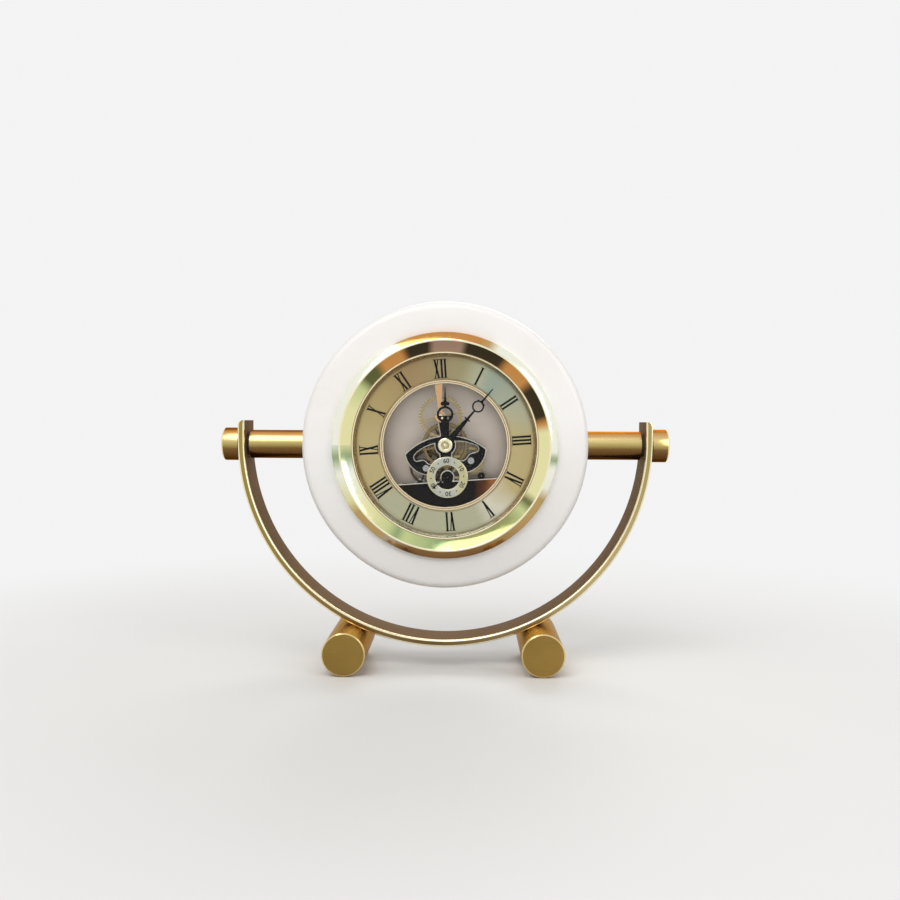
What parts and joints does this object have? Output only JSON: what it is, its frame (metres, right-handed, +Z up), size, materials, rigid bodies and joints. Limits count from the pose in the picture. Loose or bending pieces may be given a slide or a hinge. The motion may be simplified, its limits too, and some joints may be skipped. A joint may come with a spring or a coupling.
{
  "type": "desk clock",
  "caption": "Thick white ring clock with an open dial over its wheels, turning on side rods between the arms of a bent brass strip that stands on round bar feet.",
  "frame": {"origin": "on the ground under the centre of the clock: the bottom centre of the whole part, 6 mm in front of the pivot axis", "axes": "+X to the right as seen from the front, +Y to the back (the dial faces -Y), +Z up"},
  "size_m": [0.2984, 0.068, 0.243],
  "materials": {
    "brass_strip": "brushed",
    "brass_rod": "satin",
    "brass_foot": "brushed",
    "brass_polished": "polished",
    "ring_resin": "satin",
    "nylon": "matte",
    "steel": "satin",
    "crystal_glass": "polished",
    "case_brass": "satin",
    "rubber_band": "matte",
    "rubber_pad": "matte",
    "cover_panel": "satin",
    "dial_metal": "satin",
    "rim_metal": "polished",
    "rehaut_metal": "satin",
    "plate_black": "gloss",
    "copper_bridge": "satin",
    "wheel_brass": "satin",
    "seconds_cream": "satin",
    "hand_black": "satin",
    "box_plastic": "matte",
    "door_plastic": "matte",
    "cell_sleeve": "gloss",
    "coil_copper": "satin",
    "board_green": "satin",
    "knob_plastic": "satin",
    "screw_white": "gloss"
  },
  "bodies": {
    "stand": {"stand_bow": "brass_strip", "left_foot": "brass_foot", "right_foot": "brass_foot", "foot_screws": "steel", "foot_pads": "rubber_pad", "pivot_bushes": "nylon", "pivot_washers": "nylon"},
    "clock_head": {"moon_ring": "ring_resin", "left_rod": "brass_rod", "right_rod": "brass_rod", "left_end_cap": "brass_polished", "right_end_cap": "brass_polished", "pivot_studs": "steel", "ring_inserts": "steel", "bezel": "brass_polished", "crystal": "crystal_glass", "insert_case": "case_brass", "grip_band": "rubber_band", "rear_cover": "cover_panel", "cover_screws": "steel", "dial_rehaut": "rehaut_metal", "dial_ring": "dial_metal", "dial_inner_rim": "rim_metal", "front_plate": "plate_black", "lower_plate": "plate_black", "middle_plate": "plate_black", "back_plate": "plate_black", "plate_pillars": "steel", "plate_screws": "screw_white", "upper_bridge": "copper_bridge", "bridge_screw": "rim_metal", "seconds_ring": "seconds_cream", "stator": "steel", "coil": "coil_copper", "circuit_board": "board_green", "battery_box": "box_plastic", "battery": "cell_sleeve", "battery_contacts": "steel"},
    "battery_door": {"battery_door": "door_plastic"},
    "minute": {"minute_arbor": "wheel_brass", "minute_hand": "hand_black", "hand_cap": "brass_polished"},
    "hour": {"hour_wheel": "wheel_brass", "hour_hand": "hand_black"},
    "minute_work": {"minute_work_wheel": "wheel_brass"},
    "setting": {"setting_wheel": "wheel_brass"},
    "setting_knob": {"setting_stem": "wheel_brass", "set_knob": "knob_plastic"},
    "seconds": {"seconds_wheel": "wheel_brass", "seconds_hand": "hand_black"},
    "third": {"third_wheel": "wheel_brass"},
    "centre": {"centre_wheel": "wheel_brass"},
    "intermediate": {"intermediate_wheel": "wheel_brass"},
    "rotor": {"rotor": "steel"}
  },
  "joints": [
    {"name": "head_tilt", "type": "hinge", "parent": "stand", "child": "clock_head", "pos_m": [0, 0.006, 0.14799], "axis": [1, 0, 0], "continuous": true},
    {"name": "door_slide", "type": "slide", "parent": "clock_head", "child": "battery_door", "axis": [0, 1, 0], "range_m": [0, 0.02]},
    {"name": "minute_spin", "type": "hinge", "parent": "clock_head", "child": "minute", "pos_m": [0, 0.006, 0.14799], "axis": [0, 1, 0], "continuous": true},
    {"name": "hour_spin", "type": "hinge", "parent": "clock_head", "child": "hour", "pos_m": [0, 0.006, 0.14799], "axis": [0, 1, 0], "continuous": true},
    {"name": "minute_work_spin", "type": "hinge", "parent": "clock_head", "child": "minute_work", "pos_m": [-0.00312, 0.006, 0.16682], "axis": [0, 1, 0], "continuous": true},
    {"name": "setting_spin", "type": "hinge", "parent": "clock_head", "child": "setting", "pos_m": [0.01716, 0.006, 0.13776], "axis": [0, 1, 0], "continuous": true},
    {"name": "knob_spin", "type": "hinge", "parent": "clock_head", "child": "setting_knob", "pos_m": [0.02423, 0.006, 0.12727], "axis": [0, 1, 0], "continuous": true},
    {"name": "seconds_spin", "type": "hinge", "parent": "clock_head", "child": "seconds", "pos_m": [0.00149, 0.006, 0.12664], "axis": [0, 1, 0], "continuous": true},
    {"name": "third_spin", "type": "hinge", "parent": "clock_head", "child": "third", "pos_m": [0.00795, 0.006, 0.13323], "axis": [0, 1, 0], "continuous": true},
    {"name": "centre_spin", "type": "hinge", "parent": "clock_head", "child": "centre", "pos_m": [0, 0.006, 0.14799], "axis": [0, 1, 0], "continuous": true},
    {"name": "intermediate_spin", "type": "hinge", "parent": "clock_head", "child": "intermediate", "pos_m": [-0.01275, 0.006, 0.13256], "axis": [0, 1, 0], "continuous": true},
    {"name": "rotor_spin", "type": "hinge", "parent": "clock_head", "child": "rotor", "pos_m": [-0.01723, 0.006, 0.1209], "axis": [0, 1, 0], "continuous": true}
  ],
  "couplings": [
    {"joint": "hour_spin", "follows": "minute_spin", "ratio": 0.083333},
    {"joint": "minute_work_spin", "follows": "minute_spin", "ratio": -0.33333},
    {"joint": "setting_spin", "follows": "minute_spin", "ratio": -1.1429},
    {"joint": "knob_spin", "follows": "minute_spin", "ratio": 3.2},
    {"joint": "third_spin", "follows": "seconds_spin", "ratio": -0.13333},
    {"joint": "centre_spin", "follows": "seconds_spin", "ratio": 0.016667},
    {"joint": "intermediate_spin", "follows": "seconds_spin", "ratio": -2.5714},
    {"joint": "rotor_spin", "follows": "seconds_spin", "ratio": 30}
  ]
}
